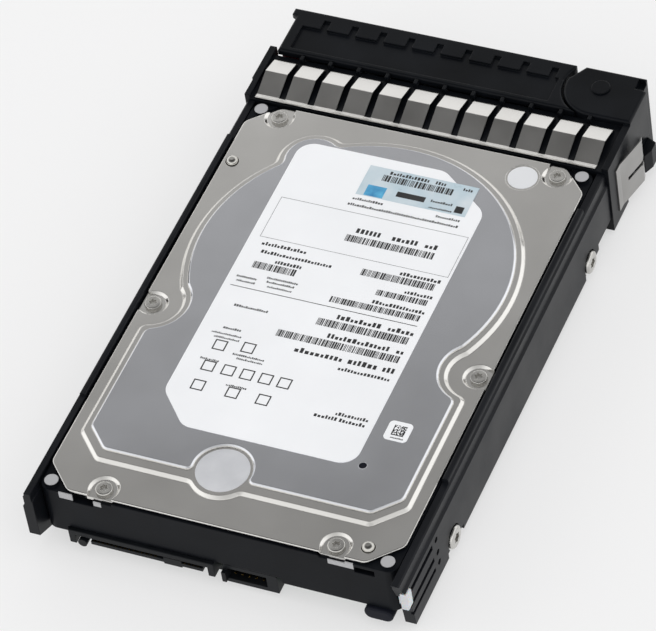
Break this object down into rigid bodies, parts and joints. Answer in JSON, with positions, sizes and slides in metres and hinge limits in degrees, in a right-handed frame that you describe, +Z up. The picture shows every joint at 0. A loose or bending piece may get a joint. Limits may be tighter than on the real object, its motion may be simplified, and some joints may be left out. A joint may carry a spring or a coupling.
{
  "type": "hard disk drive",
  "caption": "Hard disk drive in a hot-swap carrier: stamped cover over a cast base, side rails, spring fingers, swinging ejector lever, platters and actuator inside.",
  "frame": {"origin": "on the drive's centreline, at its rear (connector) edge, in the plane of its underside", "axes": "+X to the right looking from the connector to the front lever, +Y along the drive to the lever, +Z up to the cover"},
  "size_m": [0.112, 0.1874, 0.027],
  "materials": {
    "casting": "black electrocoat over die casting",
    "cover": "satin stamped steel sheet",
    "gasket": "moulded",
    "screw_steel": "zinc plated",
    "black_rivet": "moulded, satin",
    "pin_steel": "ground",
    "label_paper": "white, semi-gloss",
    "sticker_blue": "pale blue, printed",
    "foil": "satin foil",
    "motor_alloy": "machined",
    "bearing_steel": "ground",
    "laminate": "electrical steel laminate",
    "copper": "enamelled copper wire",
    "magnet": "nickel plated",
    "platter": "polished, thin film",
    "arm_alloy": "machined",
    "suspension_steel": "thin stainless sheet",
    "ceramic": "lapped",
    "damper": "elastomer",
    "natural_plastic": "moulded",
    "flex_film": "polyimide film",
    "filter_cloth": "non-woven",
    "board": "green solder mask",
    "chip": "moulded epoxy",
    "foam": "thin foam sheet",
    "connector_plastic": "moulded",
    "contact_gold": "gold flash",
    "rail_plastic": "fine texture",
    "bezel_plastic": "fine texture",
    "lever_plastic": "fine texture",
    "button_plastic": "fine texture, dark red",
    "spring_steel": "satin stainless sheet",
    "wire_steel": "drawn wire",
    "light_pipe": "clear, frosted ends"
  },
  "bodies": {
    "carrier": {"base_casting": "casting", "top_cover": "cover", "cover_gasket": "gasket", "cover_screws": "screw_steel", "locating_pins": "pin_steel", "cover_label": "label_paper", "overlay_sticker": "sticker_blue", "code_sticker": "label_paper", "foil_seal": "foil", "round_sticker": "label_paper", "motor_base": "motor_alloy", "motor_shaft": "bearing_steel", "motor_stator": "laminate", "stator_coils": "copper", "pivot_post": "bearing_steel", "lower_magnet_plate": "pin_steel", "upper_magnet_plate": "pin_steel", "coil_magnets": "magnet", "crash_stops": "damper", "parking_ramp": "natural_plastic", "latch_pin": "pin_steel", "flex_cable": "flex_film", "flex_bracket": "connector_plastic", "air_filter": "filter_cloth", "desiccant_pack": "filter_cloth", "circuit_board": "board", "board_chips": "chip", "board_insulator": "foam", "board_screws": "screw_steel", "data_connector": "connector_plastic", "connector_contacts": "contact_gold", "service_header": "connector_plastic", "header_pins": "contact_gold", "rear_bumper": "damper", "left_rail": "rail_plastic", "right_rail": "rail_plastic", "drive_screws": "screw_steel", "bezel": "bezel_plastic", "finger_strip": "spring_steel", "side_spring": "spring_steel", "lever_pin": "black_rivet", "lever_spring": "wire_steel", "button_spring": "wire_steel", "light_pipe": "light_pipe"},
    "spindle": {"bearing_sleeve": "bearing_steel", "motor_hub": "motor_alloy", "rotor_magnet": "laminate", "platters": "platter", "disk_spacers": "motor_alloy", "disk_clamp": "motor_alloy", "clamp_screws": "screw_steel"},
    "actuator": {"pivot_bearing": "bearing_steel", "actuator_arm": "arm_alloy", "voice_coil": "copper", "suspensions": "suspension_steel", "head_sliders": "ceramic"},
    "inertial_latch": {"actuator_latch": "natural_plastic"},
    "ejector": {"lever": "lever_plastic"},
    "release": {"release_button": "button_plastic"}
  },
  "joints": [
    {"name": "spindle_spin", "type": "hinge", "parent": "carrier", "child": "spindle", "pos_m": [0, 0.095, 0.016], "axis": [0, 0, 1], "continuous": true},
    {"name": "arm_swing", "type": "hinge", "parent": "carrier", "child": "actuator", "pos_m": [0.014, 0.042, 0.0158], "axis": [0, 0, 1], "range_deg": [-40.5, 0], "deforming": ["flex_cable"]},
    {"name": "latch_swing", "type": "hinge", "parent": "carrier", "child": "inertial_latch", "pos_m": [0.04, 0.056, 0.0158], "axis": [0, 0, 1], "range_deg": [-5, 5], "stiffness_Nm_per_rad": 0.00002},
    {"name": "lever_swing", "type": "hinge", "parent": "carrier", "child": "ejector", "pos_m": [0.042, 0.1754, 0.014], "axis": [0, 0, -1], "range_deg": [0, 45], "deforming": ["lever_spring"]},
    {"name": "button_press", "type": "slide", "parent": "carrier", "child": "release", "axis": [0, -1, 0], "range_m": [0, 0.002], "stiffness_N_per_m": 400, "springref_m": -0.001, "deforming": ["button_spring"]}
  ]
}
